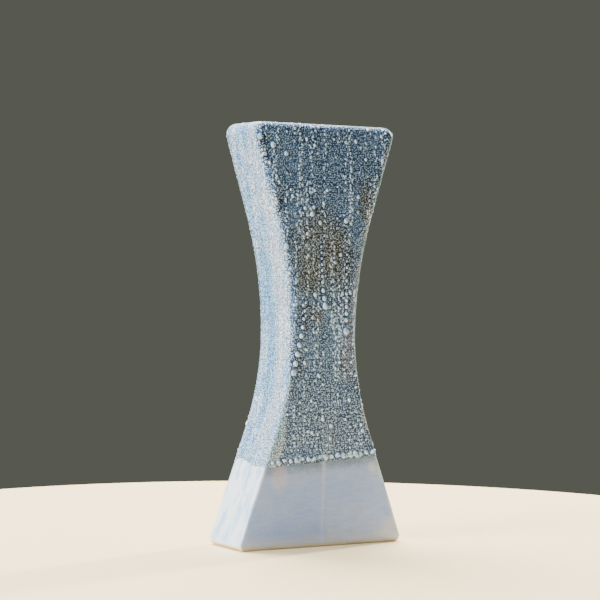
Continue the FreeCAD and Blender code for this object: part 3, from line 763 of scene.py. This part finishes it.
def make_bead_field(kind):
    """Where the beads stand. The same field shapes the mesh and paints it, so it is built once
    for Geometry Nodes and once for materials. Place is the skin laid flat."""
    suffix = "shape" if kind == "GeometryNodeTree" else "paint"
    tree, given, result = new_group(
        f"bead_field_{suffix}", kind,
        {"Place": "Vector", "Fine cell": fine_cell, "Cell": bead_cell, "Large cell": 3.7 * mm,
         "String spacing": 4.2 * mm, "Share in strings": 0.85, "Share between": 0.03, "Large share": 0.05},
        {"Bead height": "Float", "Fine height": "Float", "Cover": "Float", "Tone": "Float"})
    place = given["Place"]
    # Below the waist the beads are all of one size, and the strings are lost among them.
    low_down = spread(tree, axis_of(tree, place, "Y"), 145 * mm, 105 * mm)

    def dome(cell, smallest, largest, wander, share_at):
        """Beads of one size in wandering cells: their height, how far out from a bead's middle a
        place is, in radii, and each bead's own shade."""
        shift = jitter(tree, place, maths(tree, "DIVIDE", 0.6, cell))
        moved = vectors(tree, "ADD", place, vectors(tree, "SCALE", shift, times(tree, cell, wander)))
        taller = vectors(tree, "MULTIPLY", moved, (1.0, 0.82, 1.0))
        cells = add_node(tree, "ShaderNodeTexVoronoi", {"Vector": taller, "Randomness": 0.85,
                                                        "Scale": maths(tree, "DIVIDE", 1.0, cell)},
                         voronoi_dimensions="2D")
        pick = add_node(tree, "ShaderNodeSeparateXYZ", {0: cells.outputs["Color"]})
        radius = maths(tree, "MULTIPLY_ADD", pick.outputs["X"], largest - smallest, smallest)
        there = maths(tree, "LESS_THAN", pick.outputs["Y"], share_at(cells.outputs["Position"]))
        across = maths(tree, "DIVIDE", cells.outputs["Distance"],
                       maths(tree, "MAXIMUM", times(tree, radius, there), 0.001))
        left = maths(tree, "SUBTRACT", 1.0, times(tree, across, across))
        return maths(tree, "SQRT", maths(tree, "MAXIMUM", left, 0.0)), across, pick.outputs["Z"]

    def share_in_strings(spot):
        wide = maths(tree, "DIVIDE", 1.0, given["String spacing"])
        stretched = vectors(tree, "MULTIPLY", spot, (1.0, 0.05, 1.0))
        strings = add_node(tree, "ShaderNodeTexNoise", {"Vector": stretched, "Scale": wide, "Detail": 1.5},
                           noise_dimensions="2D").outputs[0]
        full = maths(tree, "MULTIPLY_ADD", low_down, -0.5, given["Share in strings"])
        return ramp(tree, strings, 0.54, 0.59, given["Share between"], full)

    fine, fine_across, fine_tone = dome(given["Fine cell"], 0.29, 0.44, 0.9, lambda spot: 0.92)
    middling, middling_across, middling_tone = dome(given["Cell"], 0.28, 0.46, 1.2, share_in_strings)
    large, large_across, _ = dome(given["Large cell"], 0.22, 0.4, 0.4,
                                  lambda spot: given["Large share"])
    # A bead drew the glaze round it in, so a bare ring lies between it and the fine ones.
    clear = times(tree, spread(tree, middling_across, 1.05, 1.3), spread(tree, large_across, 1.05, 1.4))
    bead_height = maths(tree, "MAXIMUM", middling, times(tree, large, 1.6))
    on_fine = times(tree, spread(tree, fine_across, 1.03, 0.8), clear)
    on_middling, on_large = spread(tree, middling_across, 1.03, 0.84), spread(tree, large_across, 1.02, 0.88)
    cover = maths(tree, "MAXIMUM", maths(tree, "MAXIMUM", on_fine, on_middling), on_large)
    bright = times(tree, on_middling, maths(tree, "MULTIPLY_ADD", middling_tone, 0.4, 0.6))
    fine_tone = maths(tree, "MULTIPLY_ADD", low_down, 0.08, times(tree, fine_tone, 0.5))
    tone = maths(tree, "MAXIMUM", fine_tone, maths(tree, "MAXIMUM", bright, on_large))
    feed(tree, result, {"Bead height": bead_height, "Fine height": times(tree, fine, clear), "Cover": cover,
                        "Tone": tone})
    return tree


bead_shape = make_bead_field("GeometryNodeTree")
bead_paint = make_bead_field("ShaderNodeTree")


def make_coat_tree():
    """Geometry Nodes: raises the beads from a smooth shell, and clears the coat round the drops."""
    tree, given, result = new_group(
        "beaded_coat", "GeometryNodeTree",
        {"Geometry": "Geometry", "Drops": "Object", "Cell": bead_cell, "Rise": bead_rise, "Sink": slip_sink,
         "Clearing": 0.9 * mm, "Side relief": 0.45, "Thinning": 0.4 * mm, "Material": "Material"},
        {"Geometry": "Geometry"})

    def of_nearest_drop(value, data_type):
        """What the nearest drop has there."""
        return add_node(tree, "GeometryNodeSampleIndex",
                        {"Geometry": spots, "Value": value, "Index": nearest},
                        data_type=data_type, domain="POINT").outputs[0]

    place = add_node(tree, "GeometryNodeInputPosition").outputs[0]
    spots = add_node(tree, "GeometryNodeObjectInfo", {"Object": given["Drops"]},
                     transform_space="ORIGINAL").outputs["Geometry"]
    nearest = add_node(tree, "GeometryNodeSampleNearest", {"Geometry": spots, "Sample Position": place},
                       domain="POINT").outputs[0]
    away = vectors(tree, "DISTANCE", place, of_nearest_drop(place, "FLOAT_VECTOR"), output="Value")
    beyond = maths(tree, "SUBTRACT", away, of_nearest_drop(stored(tree, "drop_radius"), "FLOAT"))
    free = spread(tree, beyond, times(tree, given["Clearing"], 0.35), given["Clearing"])
    field = use_group(tree, bead_shape, {"Place": stored(tree, "laid_flat", "FLOAT_VECTOR"),
                                         "Cell": given["Cell"]})
    past_rim = stored(tree, "past_rim")
    face_share = spread(tree, past_rim, 8.0, 2.0)
    domes = maths(tree, "MULTIPLY_ADD", field["Fine height"], 0.25, field["Bead height"])
    raised = times(tree, times(tree, domes, ramp(tree, face_share, 0.0, 1.0, given["Side relief"], 1.0)),
                   times(tree, given["Rise"], free))
    # On the sides the coat thins out to nothing at its lower edge.
    thinned = times(tree, spread(tree, stored(tree, "above_line"), 5.0, 0.5),
                    spread(tree, past_rim, 3.0, 7.0))
    raised = times(tree, raised, maths(tree, "SUBTRACT", 1.0, thinned))
    flush = times(tree, thinned, given["Thinning"])
    sunk = maths(tree, "MULTIPLY_ADD", given["Sink"], ramp(tree, face_share, 0.0, 1.0, 0.5, 1.0), flush)
    lift = times(tree, maths(tree, "SUBTRACT", raised, sunk), stored(tree, "outside"))
    push = vectors(tree, "SCALE", stored(tree, "outward", "FLOAT_VECTOR"), lift)
    keep_free = add_node(tree, "GeometryNodeStoreNamedAttribute",
                         {"Geometry": given["Geometry"], "Name": "free_of_drops", "Value": free},
                         data_type="FLOAT", domain="POINT")
    shaped = add_node(tree, "GeometryNodeSetPosition", {"Geometry": keep_free.outputs[0], "Offset": push})
    whole = add_node(tree, "GeometryNodeRealizeInstances", {"Geometry": shaped.outputs[0]})
    coloured = add_node(tree, "GeometryNodeSetMaterial",
                        {"Geometry": whole.outputs[0], "Material": given["Material"]})
    feed(tree, result, {"Geometry": coloured.outputs[0]})
    return tree


IRON, COBALT, NAVY = srgb(50, 48, 36), srgb(30, 66, 112), srgb(14, 34, 62)
MAUVE, RUST, ASH = srgb(118, 108, 140), srgb(120, 106, 114), srgb(98, 114, 138)
DEEP_SKY, CREAM = srgb(52, 146, 206), srgb(230, 220, 224)
thick_from, thick_to = 3.2, 7.2   # how far past the rim the slip ends under thick pale glaze, in mm
pale_from, pale_to = 1.0, 5.5     # and how far past it the beads turn pale


def make_coat_glaze(name, along="X", slip_patches=(), pale_patches=(), thick_glaze_and_painted_highlight_patches=()):
    """The beaded coat's material. A patch is (tint or how much further in the pale glaze reaches,
    middle across and up, reach across and up, strength), in mm; along is the axis across."""
    material, tree, shader = new_material(name)
    place = from_mesh(tree, "ground", "Vector")
    past_rim = from_mesh(tree, "past_rim")
    free = from_mesh(tree, "free_of_drops")
    field = use_group(tree, bead_paint, {"Place": from_mesh(tree, "laid_flat", "Vector")})
    cover = times(tree, field["Cover"], free)

    def patch(across, up, reach_across, reach_up, strength):
        """How strongly a patch covers each place."""
        middle, reach = [across * mm, 0.0, up * mm], [reach_across * mm, 1.0, reach_up * mm]
        if along == "Y":
            middle[:2], reach[:2] = middle[1::-1], reach[1::-1]
        spot = use_group(tree, tint_patch, {"Place": place, "Middle": middle, "Reach": reach})
        return times(tree, spot["Mask"], strength)

    # The thick pale glaze starts past the rim, along a frayed and drifting edge.
    fray, drift = mottle(tree, place, 260.0, 4.0, 0.7), mottle(tree, place, 26.0, 2.0)
    unevenly = maths(tree, "MULTIPLY_ADD", fray, 7.0, maths(tree, "MULTIPLY_ADD", drift, 7.0, -7.0))
    rim = maths(tree, "ADD", past_rim, unevenly)
    # These patches move the pale glaze's edge further in: thicker glaze, and along the right long edge a
    # painted highlight over pale broken glaze.
    for further, *where in thick_glaze_and_painted_highlight_patches:
        rim = maths(tree, "ADD", patch(*where, further), rim)
    thick = spread(tree, rim, thick_from, thick_to)
    pale_beads = spread(tree, rim, pale_from, pale_to)
    # Slip and beads on the faces: darker low down, tinted in patches.
    clouds = mottle(tree, place, 34.0, 4.0, distortion=0.5)
    slip = mixed(tree, spread(tree, clouds, 0.38, 0.64), srgb(32, 56, 90), srgb(60, 88, 126))
    low_down = times(tree, spread(tree, axis_of(tree, place, "Z"), 150 * mm, 100 * mm), 0.6)
    slip = mixed(tree, low_down, slip, srgb(24, 50, 84))
    bead = mixed(tree, field["Tone"], srgb(126, 162, 208), srgb(198, 224, 255))
    for tint, *where in slip_patches:
        share = patch(*where)
        slip = mixed(tree, share, slip, tint)
        lighter = (*(min(1.0, c * 1.5 + 0.22) for c in tint[:3]), 1.0)
        bead = mixed(tree, times(tree, share, 0.35), bead, lighter)
    # Thick pale glaze on the sides and the head, with sky-blue drawn down through it.
    pale_glaze = use_group(tree, drawn_glaze, {"Place": place, "Pale": srgb(198, 213, 231),
                                               "Blue": srgb(100, 172, 218), "Green": srgb(158, 200, 210)})
    pale, broken = pale_glaze["Colour"], spread(tree, pale_glaze["Streaks"], 0.34, 0.52)
    for tint, *where in pale_patches:
        pale = mixed(tree, times(tree, patch(*where), broken), pale, tint)
    ground = mixed(tree, thick, slip, mixed(tree, 0.8, pale, srgb(52, 94, 132)))
    drops = mixed(tree, pale_beads, bead, mixed(tree, 0.4, pale, srgb(236, 240, 244)))
    feed(tree, shader, {"Base Color": mixed(tree, cover, ground, drops),
                        "Roughness": ramp(tree, cover, 0.0, 1.0, 0.5, 0.2)})
    domes = maths(tree, "MULTIPLY_ADD", field["Fine height"], 0.5, field["Bead height"])
    relief = times(tree, times(tree, domes, free), ramp(tree, thick, 0.0, 1.0, 1.0, 0.5))
    carved(tree, shader, relief, 0.6, bead_rise)
    return material


coat_tree = make_coat_tree()
spot_object = bpy.data.objects.new("drop_spots", sized_spots("drop_spots", drop_places, drop_radii))
coat_settings = {"Drops": spot_object}
roof_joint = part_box("front_beaded_glaze")[1][2]  # where the head's coat begins
SIDES = {
    "front": ("front_beaded_glaze", FRONT_PARTS, make_coat_glaze("front_beaded_coat", "X", [
        (NAVY, -52, 276, 6, 24, 1.0), (NAVY, -38, 246, 7, 12, 0.7), (COBALT, 50, 284, 12, 12, 0.6),
        (NAVY, 0, 294, 60, 3, 0.7), (IRON, -6, 212, 24, 32, 0.95), (IRON, 34, 246, 8, 20, 0.9),
        (IRON, -12, 188, 14, 14, 0.8), (IRON, 12, 206, 14, 28, 0.85), (IRON, -6, 164, 6, 10, 0.8),
        (NAVY, -2, 196, 3, 34, 0.75), (NAVY, 18, 184, 4, 34, 0.8), (NAVY, -16, 164, 9, 16, 0.85),
        (NAVY, -22, 136, 6, 18, 0.7), (MAUVE, 27, 168, 5, 34, 0.7), (RUST, 20, 138, 7, 24, 0.3),
        (RUST, -38, 82, 8, 26, 0.6), (COBALT, -18, 68, 24, 9, 0.8), (COBALT, 40, 82, 7, 20, 0.8),
        (ASH, 4, 74, 6, 16, 0.4),
    # The last patch widens the pale right long edge: pale broken glaze, and a painted highlight of the rim
    # light.
    ], (), [(13, -44, 72, 20, 36), (5, -36, 112, 12, 30), (4, 62, 180, 50, 170)])),
    "back": ("back_beaded_glaze", BACK_PARTS, make_coat_glaze("back_beaded_coat", "X", [
        (NAVY, 52, 274, 6, 24, 1.0), (COBALT, -48, 284, 14, 12, 0.6), (NAVY, 0, 294, 60, 3, 0.7),
        (IRON, 6, 218, 24, 30, 0.95), (IRON, -30, 240, 9, 18, 0.8), (NAVY, -16, 200, 4, 36, 0.75),
        (NAVY, 4, 226, 4, 40, 0.7), (NAVY, 19, 164, 5, 36, 0.8), (MAUVE, -26, 166, 5, 34, 0.7),
        (RUST, 38, 84, 8, 26, 0.6), (COBALT, 14, 68, 26, 9, 0.8), (COBALT, -40, 80, 7, 20, 0.8),
    # The last patch widens the pale mirrored long edge: pale broken glaze, and a painted highlight.
    ], (), [(13, 44, 72, 20, 36), (5, 36, 112, 12, 30), (4, -62, 180, 50, 170)])),
    "left": ("left_side_glaze", LEFT_PARTS, make_coat_glaze("left_beaded_coat", "Y", (), [
        (DEEP_SKY, 8, 215, 6, 100, 1.0), (DEEP_SKY, 3, 120, 6, 70, 1.0), (DEEP_SKY, 14, 76, 5, 22, 0.9),
        (CREAM, -14, 190, 9, 130, 0.8),
    ])),
    "right": ("right_side_glaze", RIGHT_PARTS, make_coat_glaze("right_beaded_coat", "Y", (), [
        (DEEP_SKY, -8, 200, 6, 100, 0.8), (DEEP_SKY, -2, 110, 6, 70, 0.8), (CREAM, 14, 190, 9, 130, 0.8),
    ])),
}
coat_step = 0.47 * mm
coat_inner_step = 4.0 * mm


def coat_rows(parts, step):
    """Rows of the coat from the line up to the head."""
    count = round((roof_joint - glaze_line) / (step * 0.96))
    rows = []
    for k in range(count + 1):
        share = k / count
        rows.append(skin_row(lambda place: line_level(place) + (roof_joint - line_level(place)) * share,
                             parts, step, coat_thickness))
    return rows


for side, (node, parts, glaze) in SIDES.items():
    smooth_shell = shell_mesh(f"{side}_coat_shell", coat_rows(parts, coat_step),
                              coat_rows(parts, coat_inner_step), closed=False)
    beaded = grown(smooth_shell, coat_tree, f"{side}_beaded_coat", {**coat_settings, "Material": glaze})
    sharpen_rims(beaded, math.radians(75))
    show_mesh(beaded, f"{side}_beaded_coat", glaze, node, slot="beaded_glaze")

# ---------------------------------------------------------------------------------------------
# Head: the coat over the roof slab. It breaks pale over the rim, rolls over the lip of the slot
# mouth and thins down inside it to meet the liner.
# ---------------------------------------------------------------------------------------------
mouth_half_width = 9.6 * mm
mouth_run = 27.0 * mm        # half the straight length of the mouth
lip_radius = 3.0 * mm
mouth_thickness = 0.4 * mm
flat_top_width = 9.0 * mm    # between the head's rounding and the lip


def laid_over_head(place):
    """Where a point of the roof or the mouth lies on the skin laid flat, going on from the front."""
    radius = long_edge(height)
    arc = height - radius + radius * math.pi / 2
    return Vector((place.x, arc + place.y + half_depth - radius + height - place.z, 0))


def mouth_loop(out, z, tilt, step, thickness):
    """A row round the mouth, out from its wall by a distance; tilt turns its normal from up to
    level, facing the mouth's middle. It is marked to match the rows of the head."""
    radius = mouth_half_width + out
    row = []
    for number, (kind, side, face) in enumerate(ALL_ROUND):
        if kind == "flat":
            count = max(1, round(2 * mouth_run / step))
            spots = [(Vector((face * (1 - 2 * i / count) * mouth_run, face * radius, z)),
                      Vector((0, face, 0)), i / count) for i in range(count)]
        elif kind == "middle":
            count = max(2, round(math.pi * radius / step))
            spots = []
            for i in range(count):
                angle = math.pi * (i / count - 0.5) + (math.pi if side < 0 else 0)
                outward = Vector((math.cos(angle), math.sin(angle), 0))
                spots.append((Vector((side * mouth_run, 0, z)) + outward * radius, outward, i / count))
        else:
            continue
        for place, outward, share in spots:
            normal = Vector((0, 0, math.cos(tilt))) - outward * math.sin(tilt)
            row.append((place, normal, laid_over_head(place), 12 * mm, thickness, number + share))
    return row


def rim_spot(mark):
    """The point of the flat top's rim that faces a mark round the mouth."""
    number = int(mark)
    return skin_point(ALL_ROUND[number], mark - number, height)[0]


def head_rows(step):
    """Rows from the head's joint up over the rim, in over the flat top, over the lip and down."""
    rows = []
    rise = height - roof_joint
    count = round(rise * 1.35 / step)   # the rounding is about a third longer than it is high
    for k in range(count + 1):
        level = roof_joint + rise * math.sin(math.pi / 2 * k / count)
        rows.append(skin_row(lambda place: level, ALL_ROUND, step, coat_thickness)[:-1])
    lip = mouth_loop(lip_radius, height, 0.0, step, coat_thickness)
    across = max(2, round(flat_top_width / step))
    for k in range(1, across):
        row = []
        for place, normal, _, past, thickness, mark in lip:
            spot = rim_spot(mark).lerp(place, k / across)
            row.append((spot, normal, laid_over_head(spot), past, thickness, mark))
        rows.append(row)
    rows.append(lip)
    turns = max(2, round(lip_radius * math.pi / 2 / step))
    for k in range(1, turns + 1):
        tilt = math.pi / 2 * k / turns
        thin = coat_thickness + (mouth_thickness - coat_thickness) * k / turns
        level = height - lip_radius * (1 - math.cos(tilt))
        rows.append(mouth_loop(lip_radius * (1 - math.sin(tilt)), level, tilt, step, thin))
    down = height - lip_radius - roof_joint
    steps_down = max(1, round(down / step))
    for k in range(1, steps_down + 1):
        level = height - lip_radius - down * k / steps_down
        rows.append(mouth_loop(0.0, level, math.pi / 2, step, mouth_thickness))
    return rows


head_glaze = make_coat_glaze("head_coat")
head_shell = shell_mesh("head_coat_shell", head_rows(0.5 * mm), head_rows(3.0 * mm), closed=True)
head_coat = grown(head_shell, coat_tree, "head_coat", {**coat_settings, "Material": head_glaze})
sharpen_rims(head_coat, math.radians(75))
show_mesh(head_coat, "head_coat", head_glaze, "roof_glaze", slot="beaded_glaze")
bpy.data.objects.remove(spot_object)


# ---------------------------------------------------------------------------------------------
# Stage: a plain pale table top, soft light from the left and from above, a smaller warm light from
# behind on the right, and the camera.
# ---------------------------------------------------------------------------------------------
def plain_finish(name, colour, roughness):
    """A material of one colour."""
    material, tree, shader = new_material(name)
    feed(tree, shader, {"Base Color": colour, "Roughness": roughness})
    return material


def stage_sheet(name, corners, material):
    """A flat sheet that is part of the stage, not of the vase."""
    mesh = bpy.data.meshes.new(name)
    mesh.from_pydata(corners, [], [tuple(range(len(corners)))])
    sheet = bpy.data.objects.new(name, mesh)
    bpy.context.scene.collection.objects.link(sheet)
    mesh.materials.append(material)


table_radius = 0.42
table_rim = [(table_radius * math.cos(turn * math.pi / 48), table_radius * math.sin(turn * math.pi / 48), 0)
             for turn in range(96)]
stage_sheet("table_top", table_rim, plain_finish("table_finish", srgb(252, 227, 176), 0.6))

world = bpy.data.worlds.new("studio")
world.use_nodes = True
feed(world.node_tree, world.node_tree.nodes["Background"],
     {"Color": (0.1, 0.105, 0.085, 1.0), "Strength": 1.0})
bpy.context.scene.world = world


def area_light(name, place, aim, width, watts, colour):
    """A square light that shines on a place and isn't seen itself."""
    lamp = bpy.data.lights.new(name, "AREA")
    lamp.size = width
    lamp.energy = watts
    lamp.color = colour
    light = bpy.data.objects.new(name, lamp)
    light.visible_camera = False
    light.location = place
    light.rotation_euler = (Vector(aim) - Vector(place)).to_track_quat("-Z", "Y").to_euler()
    bpy.context.scene.collection.objects.link(light)


vase_middle = (0, 0, height / 2)
area_light("window_light", (-1.6, -0.15, 0.7), vase_middle, 0.8, 78, (0.86, 0.94, 1.0))
area_light("table_light", (0.1, 0.75, 1.7), (0, 0.1, 0), 0.9, 118, (1.0, 0.98, 0.94))
area_light("sun_light", (1.65, 0.5, 1.0), vase_middle, 0.16, 80, (1.0, 0.95, 0.86))

camera_turn = math.radians(30.466)   # the camera stands this far round to the left of the front
camera_distance = 1438.3 * mm        # along the line of sight, to the vase's middle
camera_level = 196.3 * mm
camera_aside = 5.955 * mm
camera_dip = math.radians(0.857)
camera_roll = math.radians(0.654)
camera_data = bpy.data.cameras.new("camera")
camera_data.sensor_width = 36.0
camera_data.lens = 120.0
camera = bpy.data.objects.new("camera", camera_data)
sight = Vector((math.sin(camera_turn), math.cos(camera_turn), 0))
across = Vector((math.cos(camera_turn), -math.sin(camera_turn), 0))
camera.location = -sight * camera_distance - across * camera_aside + Vector((0, 0, camera_level))
aim = sight * math.cos(camera_dip) - Vector((0, 0, math.sin(camera_dip)))
camera.rotation_euler = (aim.to_track_quat("-Z", "Y") @ Quaternion((0, 0, 1), camera_roll)).to_euler()
bpy.context.scene.collection.objects.link(camera)
bpy.context.scene.camera = camera
